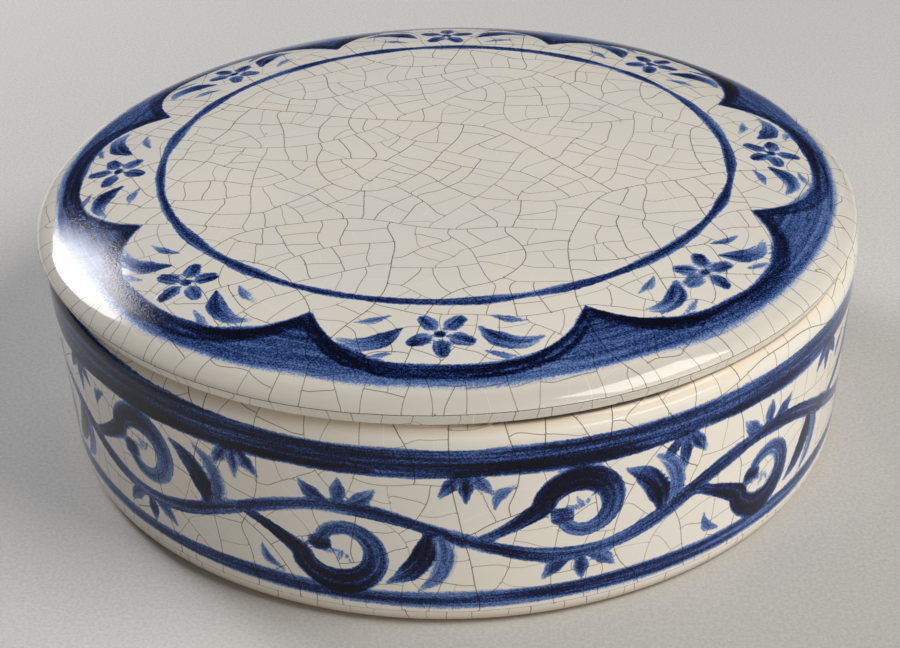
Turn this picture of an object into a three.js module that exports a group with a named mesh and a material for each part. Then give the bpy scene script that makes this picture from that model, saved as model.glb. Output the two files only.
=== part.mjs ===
// Round stoneware box with a lift-off lid: a cup-shaped base with a rounded rim and a low foot ring, and a
// gently crowned lid whose flange drops inside the mouth of the base.
// Millimetres, +Z up, origin on the table under the middle of the box.

import * as THREE from 'three';

// Overall form
const LID_DIAMETER = 150;
const BASE_RIM_HEIGHT = 40.8;
const LID_RISE = 8.9;
const SEAT_GAP = 0.3;

// Base, outside
const LID_OVERHANG = 0.3;
const WALL_TAPER = 1.7;
const HEEL_ROUND = 3;
const RIM_SHOULDER_ROUND = 3.6;
const FOOT_WIDTH = 5.5;
const FOOT_RECESS = 1.5;
const FOOT_EDGE_ROUND = 0.8;

// Base, inside
const BASE_WALL = 5.5;
const BASE_FLOOR = 5;
const MOUTH_EDGE_ROUND = 0.7;
const FLOOR_FILLET = 8;

// Lid, outside
const SHOULDER_RUN = 34.7;
const LIP_ROUND = 1;

// Lid, underside
const LID_WALL = 5;
const FLANGE_CLEARANCE = 0.9;
const FLANGE_WALL = 4;
const FLANGE_DROP = 4.5;
const FLANGE_ROOT_FILLET = 0.6;
const DOME_SPRING_BELOW_SEAT = 1;

// Facets
const SIDES_AROUND = 72;
const STEPS_SMALL = 3;
const STEPS_ROUND = 5;
const STEPS_LONG = 12;

// Quarter-turn angles, measured from the outward radius towards +Z
const OUT = 0;
const UP = Math.PI / 2;
const IN = Math.PI;
const DOWN = -Math.PI / 2;

const CREAM_GLAZE = new THREE.Color(0.83, 0.79, 0.72);
const GLAZE_ROUGHNESS = 0.12;

function glaze() {
  return new THREE.MeshStandardMaterial({
    color: CREAM_GLAZE,
    roughness: GLAZE_ROUGHNESS,
    metalness: 0,
  });
}

// Points of a quarter ellipse in the radius-height plane
function quarter(centreR, centreZ, halfR, halfZ, from, to, steps) {
  const clockwise = to < from;
  const curve = new THREE.EllipseCurve(centreR, centreZ, halfR, halfZ, from, to, clockwise);
  return curve.getPoints(steps);
}

function round(centreR, centreZ, radius, from, to, steps) {
  return quarter(centreR, centreZ, radius, radius, from, to, steps);
}

// Closed body of revolution about +Z from a profile that starts and ends on the axis
function revolve(profile) {
  const geometry = new THREE.LatheGeometry(profile, SIDES_AROUND);
  geometry.rotateX(Math.PI / 2);
  return geometry;
}

// Radii shared by the two pieces
const lidRadius = LID_DIAMETER / 2;
const rimRadius = lidRadius - LID_OVERHANG;
const heelRadius = rimRadius - WALL_TAPER;
const mouthRadius = rimRadius - BASE_WALL;

// The cup: underside, foot ring, heel, tapered wall, rim, mouth, inner wall, floor
function baseProfile() {
  const footOuter = heelRadius - HEEL_ROUND;
  const footInner = footOuter - FOOT_WIDTH;
  const floorTop = FOOT_RECESS + BASE_FLOOR;
  const innerFloorRadius = heelRadius - BASE_WALL;
  const shoulderStart = BASE_RIM_HEIGHT - RIM_SHOULDER_ROUND;
  const mouthEdge = mouthRadius + MOUTH_EDGE_ROUND;
  return [
    new THREE.Vector2(0, FOOT_RECESS),
    new THREE.Vector2(footInner, FOOT_RECESS),
    ...round(footInner + FOOT_EDGE_ROUND, FOOT_EDGE_ROUND, FOOT_EDGE_ROUND, IN, IN + UP, STEPS_SMALL),
    ...round(footOuter, HEEL_ROUND, HEEL_ROUND, DOWN, OUT, STEPS_ROUND),
    ...round(rimRadius - RIM_SHOULDER_ROUND, shoulderStart, RIM_SHOULDER_ROUND, OUT, UP, STEPS_ROUND),
    ...round(mouthEdge, BASE_RIM_HEIGHT - MOUTH_EDGE_ROUND, MOUTH_EDGE_ROUND, UP, IN, STEPS_SMALL),
    ...round(innerFloorRadius - FLOOR_FILLET, floorTop + FLOOR_FILLET, FLOOR_FILLET, OUT, DOWN, STEPS_ROUND),
    new THREE.Vector2(0, floorTop),
  ];
}

// The cover, measured from its seat: domed hollow, flange, seat, lip, wide shoulder, crown
function lidProfile() {
  const flangeOuter = mouthRadius - FLANGE_CLEARANCE;
  const flangeInner = flangeOuter - FLANGE_WALL;
  const flangeNose = FLANGE_WALL / 2;
  const flangeMiddle = flangeInner + flangeNose;
  const noseCentre = flangeNose - FLANGE_DROP;
  const crownRadius = lidRadius - SHOULDER_RUN;
  const ceiling = LID_RISE - LID_WALL;
  const domeRise = ceiling + DOME_SPRING_BELOW_SEAT;
  const domeRun = flangeInner - crownRadius;
  const shoulderDrop = LID_RISE - LIP_ROUND;
  const rootCentre = flangeOuter + FLANGE_ROOT_FILLET;
  return [
    new THREE.Vector2(0, ceiling),
    ...quarter(crownRadius, -DOME_SPRING_BELOW_SEAT, domeRun, domeRise, UP, OUT, STEPS_LONG),
    ...round(flangeMiddle, noseCentre, flangeNose, IN, IN + UP, STEPS_SMALL),
    ...round(flangeMiddle, noseCentre, flangeNose, DOWN, OUT, STEPS_SMALL).slice(1),
    ...round(rootCentre, -FLANGE_ROOT_FILLET, FLANGE_ROOT_FILLET, IN, UP, STEPS_SMALL),
    ...round(lidRadius - LIP_ROUND, LIP_ROUND, LIP_ROUND, DOWN, OUT, STEPS_ROUND),
    ...quarter(crownRadius, LIP_ROUND, SHOULDER_RUN, shoulderDrop, OUT, UP, STEPS_LONG).slice(1),
    new THREE.Vector2(0, LID_RISE),
  ];
}

const base = new THREE.Mesh(revolve(baseProfile()), glaze());
base.name = 'box_base';

const lid = new THREE.Mesh(revolve(lidProfile()), glaze());
lid.name = 'lid';
lid.position.z = BASE_RIM_HEIGHT + SEAT_GAP;

const box = new THREE.Group();
box.add(base, lid);

export default box;
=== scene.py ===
"""Looks of the round lidded box: a glazed base and a lift-off lid with crackle and cobalt brushwork.

Shapes, cracks and brush strokes are worked out in millimetres on the unrolled skin of each piece.
The meshes are made from them in metres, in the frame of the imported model.
"""
import math
from collections import namedtuple
import bpy
import numpy as np
from mathutils import Matrix, Vector


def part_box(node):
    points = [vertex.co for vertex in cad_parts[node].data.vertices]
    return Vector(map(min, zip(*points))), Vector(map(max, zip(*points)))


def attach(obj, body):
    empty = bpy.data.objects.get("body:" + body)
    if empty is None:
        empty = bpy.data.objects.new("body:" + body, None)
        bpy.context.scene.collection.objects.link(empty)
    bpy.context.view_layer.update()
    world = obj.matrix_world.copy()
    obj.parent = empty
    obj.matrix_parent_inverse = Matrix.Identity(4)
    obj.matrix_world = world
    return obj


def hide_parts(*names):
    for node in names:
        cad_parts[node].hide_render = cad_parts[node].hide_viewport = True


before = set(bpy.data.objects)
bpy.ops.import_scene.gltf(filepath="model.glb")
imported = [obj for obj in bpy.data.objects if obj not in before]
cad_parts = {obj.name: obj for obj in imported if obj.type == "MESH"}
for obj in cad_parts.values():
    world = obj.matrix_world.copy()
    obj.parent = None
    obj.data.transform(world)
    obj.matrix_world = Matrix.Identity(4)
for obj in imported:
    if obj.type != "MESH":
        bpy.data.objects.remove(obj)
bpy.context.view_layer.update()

MM = 0.001
TURN = 2 * math.pi
HALF_TURN = TURN / 2
QUARTER_TURN = TURN / 4
EIGHTH_TURN = TURN / 8

# Directions in the radius and height plane, in degrees
OUT = 0
UP = 90
IN = 180
DOWN = -90

lid_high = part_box("lid")[1]
base_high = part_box("box_base")[1]

# Outside of both pieces
LID_RADIUS = lid_high.x / MM
LID_TOP = lid_high.z / MM
RIM_RADIUS = base_high.x / MM
RIM_HEIGHT = base_high.z / MM
SEAT_GAP = 0.3
SEAT_HEIGHT = RIM_HEIGHT + SEAT_GAP
SHOULDER_RUN = 34.7
LIP_ROUND = 1
CROWN_RADIUS = LID_RADIUS - SHOULDER_RUN
WALL_TAPER = 1.7
HEEL_RADIUS = RIM_RADIUS - WALL_TAPER
HEEL_ROUND = 3
RIM_SHOULDER_ROUND = 3.6
SEAT_OUTER = RIM_RADIUS - RIM_SHOULDER_ROUND
FOOT_OUTER = HEEL_RADIUS - HEEL_ROUND
WALL_RADIUS = (RIM_RADIUS + HEEL_RADIUS) / 2

# The lip below the lid's arris: it slopes in, and its edge hangs a little way over the rim
ARRIS_ABOVE_SEAT = 1.9
LIP_SLOPE = 28
LIP_SET_IN = 0.95
LIP_DROP = 0.5
LIP_EDGE_ROUND = 0.35
LIP_INNER = LID_RADIUS - LIP_SET_IN - LIP_EDGE_ROUND
LIP_BOTTOM = SEAT_HEIGHT - LIP_DROP

# Hidden sides of both pieces
BASE_WALL = 5.5
MOUTH_RADIUS = RIM_RADIUS - BASE_WALL
MOUTH_EDGE_ROUND = 0.7
FLOOR_TOP = 6.5
FLOOR_FILLET = 8
FOOT_WIDTH = 5.5
FOOT_RECESS = 1.5
FOOT_EDGE_ROUND = 0.8
FLANGE_CLEARANCE = 0.9
FLANGE_WALL = 4
FLANGE_DROP = 4.5
FLANGE_ROOT_FILLET = 0.6
LID_WALL = 5
DOME_SPRING_BELOW_SEAT = 1

# Hand-made unevenness: the lid is a little saddle-shaped and sits to one side, and the base is out of round
LID_WARP = 0.12
LID_WARP_WAVES = 2
LID_WARP_AT = math.radians(-68)
LID_SHIFT = 0.8
BASE_OUT_OF_ROUND = 0.06
BASE_WARP_WAVES = 3
BASE_WARP_START = 1

# How finely the skins are divided
FINE_STEPS = 120
LID_RINGS = 132
LID_RING_CROWDING = 0.1
LID_RING_POWER = 4
BASE_COLUMNS = 801
BASE_ROWS = 79
FAN_SHARE = 0.25
TOUCHING = 1e-6


# Profiles in the radius and height plane


def arc(centre_r, centre_z, half_r, half_z, start, end, steps=FINE_STEPS):
    """Points of an elliptical arc, with its angles in degrees from the outward radius."""
    turn = np.radians(np.linspace(start, end, steps + 1))
    return np.stack([centre_r + half_r * np.cos(turn), centre_z + half_z * np.sin(turn)], axis=1)


def line(start, end, steps=1):
    return np.linspace(start, end, steps + 1)


def join(*stretches):
    """One run of points from several stretches, without the points that double up where they meet."""
    points = np.concatenate(stretches)
    steps = np.linalg.norm(np.diff(points, axis=0), axis=1)
    return points[np.r_[True, steps > TOUCHING]]


def walked(points):
    """Length along a line of points, up to each of them."""
    return np.r_[0.0, np.cumsum(np.linalg.norm(np.diff(points, axis=0), axis=1))]


def around(distance, angle):
    """Places at distances from a middle and angles round it."""
    return np.stack([distance * np.cos(angle), distance * np.sin(angle)], axis=-1)


def wrapped(dx, period):
    """Steps on a skin, the short way round where it closes on itself."""
    if period is None:
        return dx
    return (dx + period / 2) % period - period / 2


def lid_shoulder():
    """From the middle of the lid to its arris, which is its widest place."""
    centre = SEAT_HEIGHT + LIP_ROUND
    drop = LID_TOP - centre
    arris = math.asin((ARRIS_ABOVE_SEAT - LIP_ROUND) / drop)
    return join(
        line((0, LID_TOP), (CROWN_RADIUS, LID_TOP)),
        arc(CROWN_RADIUS, centre, SHOULDER_RUN / math.cos(arris), drop, UP, math.degrees(arris)),
    )


def lid_outside():
    edge = LIP_EDGE_ROUND
    return join(lid_shoulder(), arc(LIP_INNER, LIP_BOTTOM + edge, edge, edge, -LIP_SLOPE, DOWN))


def lid_underside():
    """From the lip's lower edge over the seat and round the flange to the hollow's ceiling."""
    outer = MOUTH_RADIUS - FLANGE_CLEARANCE
    inner = outer - FLANGE_WALL
    nose = FLANGE_WALL / 2
    nose_height = SEAT_HEIGHT - FLANGE_DROP + nose
    root = FLANGE_ROOT_FILLET
    spring = SEAT_HEIGHT - DOME_SPRING_BELOW_SEAT
    ceiling = LID_TOP - LID_WALL
    return join(
        line((LIP_INNER, LIP_BOTTOM), (LIP_INNER - LIP_SET_IN, SEAT_HEIGHT)),
        line((LIP_INNER - LIP_SET_IN, SEAT_HEIGHT), (outer + root, SEAT_HEIGHT), steps=2),
        arc(outer + root, SEAT_HEIGHT - root, root, root, UP, IN, steps=3),
        arc(inner + nose, nose_height, nose, nose, OUT, -IN, steps=8),
        arc(CROWN_RADIUS, spring, inner - CROWN_RADIUS, ceiling - spring, OUT, UP, steps=9),
    )


def base_outside():
    shoulder = RIM_SHOULDER_ROUND
    return join(
        arc(FOOT_OUTER, HEEL_ROUND, HEEL_ROUND, HEEL_ROUND, DOWN, OUT),
        arc(SEAT_OUTER, RIM_HEIGHT - shoulder, shoulder, shoulder, OUT, UP),
    )


def base_inside():
    edge = MOUTH_RADIUS + MOUTH_EDGE_ROUND
    floor_radius = HEEL_RADIUS - BASE_WALL - FLOOR_FILLET
    return join(
        line((SEAT_OUTER, RIM_HEIGHT), (edge, RIM_HEIGHT)),
        arc(edge, RIM_HEIGHT - MOUTH_EDGE_ROUND, MOUTH_EDGE_ROUND, MOUTH_EDGE_ROUND, UP, IN, steps=4),
        arc(floor_radius, FLOOR_TOP + FLOOR_FILLET, FLOOR_FILLET, FLOOR_FILLET, OUT, DOWN, steps=8),
        line((floor_radius, FLOOR_TOP), (floor_radius * FAN_SHARE, FLOOR_TOP), steps=6),
    )


def base_underside():
    inner = FOOT_OUTER - FOOT_WIDTH
    edge = FOOT_EDGE_ROUND
    return join(
        line((FOOT_OUTER, 0), (inner + edge, 0), steps=2),
        arc(inner + edge, edge, edge, edge, DOWN, -IN, steps=3),
        line((inner, FOOT_RECESS), (inner * FAN_SHARE, FOOT_RECESS), steps=3),
    )


# Grids on the unrolled skins


class RoundSkin:
    """The outer skin of a piece, with a grid of vertices on it."""

    def __init__(self, profile, shape, period):
        self.profile = profile
        self.walked = walked(profile)
        self.length = self.walked[-1]
        self.shape = shape
        self.period = period

    def turned(self, distance, angle):
        """Places in space at distances along the profile and angles round the axis."""
        radius = np.interp(distance, self.walked, self.profile[:, 0])
        height = np.interp(distance, self.walked, self.profile[:, 1])
        return np.concatenate([around(radius, angle), height[..., None]], axis=-1)


class DiscSkin(RoundSkin):
    """The lid's skin, unrolled to a disc and covered with a square grid that is bent to fit it."""

    def __init__(self, profile, rings):
        super().__init__(profile, (2 * rings + 1, 2 * rings + 1), None)
        self.rings = rings
        self.ring_share = np.linspace(0, 1, FINE_STEPS)
        crowded = LID_RING_CROWDING * self.ring_share**LID_RING_POWER
        self.ring_distance = self.length * ((1 + LID_RING_CROWDING) * self.ring_share - crowded)

    def polar(self, i, j):
        """Distance from the middle along the skin, and angle, of grid places."""
        a = i / self.rings - 1
        b = j / self.rings - 1
        across = np.abs(a) > np.abs(b)
        ring = np.where(across, a, b)
        ratio = np.where(across, b, a) / np.where(ring == 0, 1, ring)
        angle = np.where(across, ratio, 2 - ratio) * EIGHTH_TURN
        angle = angle + np.where(ring < 0, HALF_TURN, 0)
        return np.interp(np.abs(ring), self.ring_share, self.ring_distance), angle

    def flat(self, i, j):
        return np.moveaxis(around(*self.polar(i, j)), -1, 0)

    def solid(self, i, j):
        return self.turned(*self.polar(i, j))

    def index(self, x, y):
        """Grid place, with fractions, of a point of the flat skin."""
        ring = np.interp(np.hypot(x, y), self.ring_distance, self.ring_share)
        angle = np.arctan2(y, x)
        quarter = np.floor((angle + EIGHTH_TURN) / QUARTER_TURN)
        side = ring * (angle - quarter * QUARTER_TURN) / EIGHTH_TURN
        which = quarter.astype(int) % 4
        a = np.choose(which, [ring, -side, -ring, side])
        b = np.choose(which, [side, ring, -side, -ring])
        return (a + 1) * self.rings, (b + 1) * self.rings

    def frozen(self):
        """Grid places that stay where they are: the edge, which the underside is joined to."""
        held = np.ones(self.shape, bool)
        held[1:-1, 1:-1] = False
        return held


class BandSkin(RoundSkin):
    """The base's skin, unrolled to a band that closes on itself."""

    def __init__(self, profile, columns, rows):
        super().__init__(profile, (columns, rows), TURN * WALL_RADIUS)

    def flat(self, i, j):
        return self.period * i / self.shape[0], self.length * j / (self.shape[1] - 1)

    def solid(self, i, j):
        return self.turned(self.flat(i, j)[1], TURN * i / self.shape[0])

    def index(self, x, y):
        return x / self.period * self.shape[0], y / self.length * (self.shape[1] - 1)

    def frozen(self):
        """Grid places that stay where they are: both edges."""
        held = np.zeros(self.shape, bool)
        held[:, [0, -1]] = True
        return held


# Crackle


class CrackNet:
    """Grows a crackle on a flat skin: a few long cracks first, then short ones that split the widest gaps."""

    # Lengths in millimetres and turns in radians
    CELL = 0.4
    STEP = 0.4
    FAR = 40.0
    REACH = 16.0
    TOUCH = 0.45
    OUTSIDE = -1.0
    CHUNK = 24
    STRAIGHTENING = 7
    TURN_IN = 2.6
    TURN_RATE = 0.16
    WIDEST_TURN = 1.9
    LEAST_POINTS = 3
    LONGEST_CHORD = 30
    LEAST_STRIDE = 0.5
    STRIDE_SHARE = 0.8
    WIDE_SHARE = 0.86
    DIRECTIONS = 8
    SHORT_CHOICES = 2
    LONGEST_ARM = 60
    SETTLED_SHARE = 0.9

    def __init__(self, low, high, seed, period=None, allowed=None):
        self.low = low
        self.period = period
        self.rng = np.random.default_rng(seed)
        self.count = [round((b - a) / self.CELL) for a, b in zip(low, high)]
        self.x, self.y = (a + (np.arange(n) + 0.5) * self.CELL for a, n in zip(low, self.count))
        if period:
            self.x = (np.arange(self.count[0]) + 0.5) * period / self.count[0]
        grid = np.meshgrid(self.x, self.y, indexing="ij")
        self.allowed = allowed(*grid) if allowed else np.ones(grid[0].shape, bool)
        self.distance = np.full(grid[0].shape, self.FAR)
        self.cracks = []

    def gap(self, x, y):
        """Distance to the nearest crack, or less than nothing outside the skin."""
        i = int((x - self.low[0]) // self.CELL)
        j = int((y - self.low[1]) // self.CELL)
        if self.period:
            i = int(x / self.period * self.count[0]) % self.count[0]
        if not (0 <= i < self.count[0] and 0 <= j < self.count[1] and self.allowed[i, j]):
            return self.OUTSIDE
        return self.distance[i, j]

    def downhill(self, x, y):
        """Direction towards the nearest crack."""
        step = self.CELL
        dx = self.gap(x - step, y) - self.gap(x + step, y)
        dy = self.gap(x, y - step) - self.gap(x, y + step)
        return math.atan2(dy, dx)

    def add(self, points, tone):
        """Keeps a crack, and shortens the distances round it."""
        points = np.asarray(points, float)
        self.cracks.append((points, tone))
        middle = (points.min(axis=0) + points.max(axis=0)) / 2
        half = np.ptp(points, axis=0) / 2 + self.REACH
        i = np.flatnonzero(np.abs(wrapped(self.x - middle[0], self.period)) <= half[0])
        j = np.flatnonzero(np.abs(self.y - middle[1]) <= half[1])
        near = self.distance[np.ix_(i, j)]
        for part in np.array_split(points, len(points) // self.CHUNK + 1):
            dx = wrapped(self.x[i][:, None] - part[:, 0], self.period)
            dy = self.y[j][:, None] - part[:, 1]
            squared = (dx[:, None, :] ** 2 + dy[None, :, :] ** 2).min(axis=-1)
            near = np.minimum(near, np.sqrt(squared))
        self.distance[np.ix_(i, j)] = near

    def walk(self, x, y, angle, bend, limit):
        """One arm of a crack: it wanders, turns square to the crack it meets and stops there."""
        curve = self.rng.normal(0, bend)
        points = []
        for _ in range(int(limit / self.STEP)):
            push = self.rng.normal(0, bend / 2) * math.sqrt(self.STEP)
            curve += push - curve * self.STEP / self.STRAIGHTENING
            angle += curve * self.STEP
            if 0 <= self.gap(x, y) < self.TURN_IN and len(points) > self.LEAST_POINTS:
                turn = (self.downhill(x, y) - angle + HALF_TURN) % TURN - HALF_TURN
                if abs(turn) < self.WIDEST_TURN:
                    angle += max(-self.TURN_RATE, min(self.TURN_RATE, turn / 2))
            x += math.cos(angle) * self.STEP
            y += math.sin(angle) * self.STEP
            gap = self.gap(x, y)
            if gap < 0:
                break
            points.append((x, y))
            if gap < self.TOUCH:
                end = self.downhill(x, y)
                points.append((x + math.cos(end) * gap, y + math.sin(end) * gap))
                break
        return points

    def grow(self, x, y, angle, bend, tone, limit):
        """A crack that starts at a place and runs both ways."""
        ahead = self.walk(x, y, angle, bend, limit)
        behind = self.walk(x, y, angle + HALF_TURN, bend, limit)
        points = behind[::-1] + [(x, y)] + ahead
        if len(points) > self.LEAST_POINTS:
            self.add(points, tone)

    def chord(self, x, y, angle):
        """Length of the free line through a point in one direction."""
        total = 0.0
        for way in (1, -1):
            run = 0.0
            gap = self.gap(x, y)
            while run < self.LONGEST_CHORD and gap >= self.TOUCH:
                run += max(self.LEAST_STRIDE, gap * self.STRIDE_SHARE)
                gap = self.gap(x + way * math.cos(angle) * run, y + way * math.sin(angle) * run)
            total += run
        return total

    def split(self, widest, bend, tones, upright):
        """Splits gaps until none is wider, the short way over, or upright where that is asked for."""
        while True:
            gaps = np.where(self.allowed, self.distance, 0)
            if gaps.max() < widest:
                return
            places = np.argwhere(gaps > self.WIDE_SHARE * gaps.max())
            i, j = places[self.rng.integers(len(places))]
            x = self.x[i] + self.rng.normal(0, self.CELL)
            y = self.y[j] + self.rng.normal(0, self.CELL)
            angles = self.rng.uniform(0, HALF_TURN) + np.arange(self.DIRECTIONS) * HALF_TURN / self.DIRECTIONS
            lengths = [self.chord(x, y, a) * (1 + upright * abs(math.cos(a))) for a in angles]
            angle = angles[np.argsort(lengths)[self.rng.integers(self.SHORT_CHOICES)]]
            self.grow(x, y, angle, bend, self.rng.uniform(*tones), self.LONGEST_ARM)
            self.distance[i, j] = min(self.distance[i, j], widest * self.SETTLED_SHARE)


# Cracks: tones run from 0 to 1 for dark stain, and below 0 for pale hairlines
CRACK_HALF_WIDTH = 0.085
CRACK_WIDENING = 0.6
LONGEST_CRACK = 200
HAIRLINE_TONES = (-0.45, -0.15)
TRACE_STEP = 0.15
RING_CRACK_WANDER = 0.12
RING_CRACK_WAVES = 5

LID_CRACK_SEED = 4
LID_NET_HALF = 80
LID_ARRIS_TONE = 0.9
LID_LONG_CRACKS = 10
LID_LONG_SPREAD = 0.85
LID_LONG_APART = 6
LID_LONG_BEND = 0.045
LID_LONG_TONES = (0.75, 0.95)
EDGE_CRACKS = 74
EDGE_CRACK_LENGTHS = (4, 11)
EDGE_CRACK_JITTER = 0.35
EDGE_CRACK_START = 0.7
EDGE_CRACK_LEAN = 0.2
EDGE_CRACK_BEND = 0.05
EDGE_CRACK_TONES = (0.5, 0.95)
EDGE_CRACK_LEAST_POINTS = 2
LIP_CRACKS = 38
LIP_CRACK_JITTER = 0.4
LIP_CRACK_LEAN = 0.006
LIP_CRACK_POINTS = 8
LIP_CRACK_TONES = (0.3, 0.7)

BASE_CRACK_SEED = 11
HEEL_CRACK_HEIGHT = 3.2
HEEL_CRACK_TONE = 0.4
BASE_LONG_CRACKS = 18
BASE_LONG_JITTER = 0.8
BASE_LONG_HEIGHTS = (12, 34)
BASE_LONG_LEAN = 0.3
BASE_LONG_BEND = 0.04
BASE_LONG_TONES = (0.7, 1.0)

# Rounds of splitting: widest gap left, bend, range of tones, and how much upright cracks are preferred
LID_SPLITS = (
    (4.2, 0.06, (0.6, 0.95), 0),
    (2.6, 0.08, (0.45, 0.85), 0),
    (2.2, 0.08, HAIRLINE_TONES, 0),
)
BASE_SPLITS = (
    (4.8, 0.05, (0.55, 1.0), 0.5),
    (2.9, 0.07, (0.35, 0.8), 0),
    (2.5, 0.08, HAIRLINE_TONES, 0),
)


def ring_crack(length, height, rng):
    """A crack that follows an edge all the way round, as points along it."""
    along = np.arange(0, length, CrackNet.STEP)
    wander = RING_CRACK_WANDER * np.sin(TURN * RING_CRACK_WAVES * along / length + rng.uniform(0, TURN))
    return along, height + wander


def lid_cracks(skin):
    """Cracks over the whole top, with one round the lip where the glaze has pulled away from the edge."""
    half = LID_NET_HALF
    on_lid = lambda x, y: np.hypot(x, y) < skin.length
    net = CrackNet((-half, -half), (half, half), LID_CRACK_SEED, allowed=on_lid)
    rng = net.rng
    edge = walked(lid_shoulder())[-1]
    along, distance = ring_crack(TURN * edge, edge, rng)
    net.add(around(distance, along / edge), LID_ARRIS_TONE)
    for _ in range(LID_LONG_CRACKS):
        radius = skin.length * math.sqrt(rng.uniform(0, LID_LONG_SPREAD))
        angle = rng.uniform(0, TURN)
        x, y = radius * math.cos(angle), radius * math.sin(angle)
        if net.gap(x, y) > LID_LONG_APART:
            heading = rng.uniform(0, HALF_TURN)
            net.grow(x, y, heading, LID_LONG_BEND, rng.uniform(*LID_LONG_TONES), LONGEST_CRACK)
    edge_cracks(net, edge)
    lip_cracks(net, edge, skin.length)
    for split in LID_SPLITS:
        net.split(*split)
    return net.cracks


def edge_cracks(net, edge):
    """Short cracks that run inwards from a round edge, about square to it."""
    rng = net.rng
    for k in range(EDGE_CRACKS):
        angle = TURN * (k + rng.uniform(-EDGE_CRACK_JITTER, EDGE_CRACK_JITTER)) / EDGE_CRACKS
        start = edge - EDGE_CRACK_START
        x, y = start * math.cos(angle), start * math.sin(angle)
        heading = angle + HALF_TURN + rng.normal(0, EDGE_CRACK_LEAN)
        points = net.walk(x, y, heading, EDGE_CRACK_BEND, rng.uniform(*EDGE_CRACK_LENGTHS))
        if len(points) > EDGE_CRACK_LEAST_POINTS:
            foot = (edge * math.cos(angle), edge * math.sin(angle))
            net.add([foot, (x, y), *points], rng.uniform(*EDGE_CRACK_TONES))


def lip_cracks(net, edge, outer):
    """Straight cracks across the lip, from the crack round it to its lower edge."""
    rng = net.rng
    share = np.linspace(0, 1, LIP_CRACK_POINTS)
    for k in range(LIP_CRACKS):
        angle = TURN * (k + rng.uniform(-LIP_CRACK_JITTER, LIP_CRACK_JITTER)) / LIP_CRACKS
        lean = rng.normal(0, LIP_CRACK_LEAN)
        points = around(edge + (outer - edge) * share, angle + lean * share)
        net.add(points, rng.uniform(*LIP_CRACK_TONES))


def base_cracks(skin):
    """Upright cracks round the wall, joined by shorter ones, with one round the heel."""
    net = CrackNet((0, 0), (skin.period, skin.length), BASE_CRACK_SEED, period=skin.period)
    rng = net.rng
    heel = QUARTER_TURN * HEEL_ROUND + HEEL_CRACK_HEIGHT - HEEL_ROUND
    net.add(np.stack(ring_crack(skin.period, heel, rng), axis=1), HEEL_CRACK_TONE)
    for k in range(BASE_LONG_CRACKS):
        x = skin.period * (k + rng.uniform(0, BASE_LONG_JITTER)) / BASE_LONG_CRACKS
        y = rng.uniform(*BASE_LONG_HEIGHTS)
        heading = QUARTER_TURN + rng.normal(0, BASE_LONG_LEAN)
        net.grow(x, y, heading, BASE_LONG_BEND, rng.uniform(*BASE_LONG_TONES), LONGEST_CRACK)
    for split in BASE_SPLITS:
        net.split(*split)
    return net.cracks


def trace(skin, crack):
    """Grid vertices that a crack runs through, each next to the last, with the place where it passes each."""
    far = walked(crack)
    near = np.append(np.arange(0, far[-1], TRACE_STEP), far[-1])
    places = np.stack(skin.index(*(np.interp(near, far, along) for along in crack.T)), axis=1)
    path = []
    for place in places:
        vertex = tuple(np.rint(place).astype(int))
        if not path or path[-1][0] != vertex:
            path.append((vertex, place))
        elif np.abs(place - vertex).sum() < np.abs(path[-1][1] - vertex).sum():
            path[-1] = (vertex, place)
    k = 1
    while k < len(path) - 1:
        step = np.subtract(path[k + 1][0], path[k - 1][0])
        if np.abs(step).max() <= 1:
            del path[k]
        else:
            k += 1
    return path


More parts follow.
